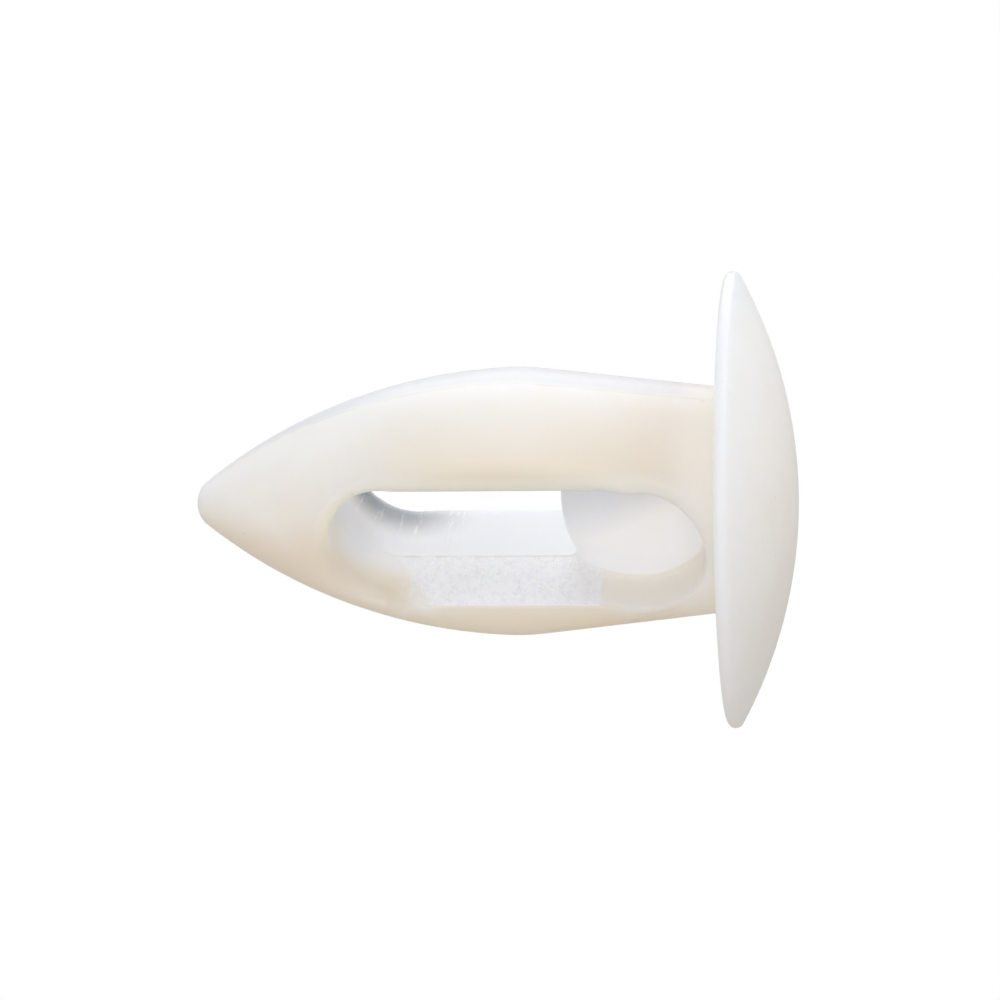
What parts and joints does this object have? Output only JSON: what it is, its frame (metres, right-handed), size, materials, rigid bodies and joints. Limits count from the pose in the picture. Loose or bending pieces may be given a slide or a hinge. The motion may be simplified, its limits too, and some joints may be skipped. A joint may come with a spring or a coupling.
{
  "type": "push-in panel clip",
  "caption": "One-piece moulded push-in clip: a thin domed head and a slotted shank with a long rounded nose whose limbs spring open behind a panel hole.",
  "frame": {"origin": "crown of the domed head, on the axis of the shank, where the clip stands on a flat surface", "axes": "+Z along the shank from the head to the nose, +Y through the slot, +X from one limb to the other"},
  "size_m": [0.0126, 0.0126, 0.017],
  "materials": {
    "nylon": "satin, natural off-white, slightly translucent"
  },
  "bodies": {
    "root": {"clip": "nylon"}
  },
  "joints": []
}
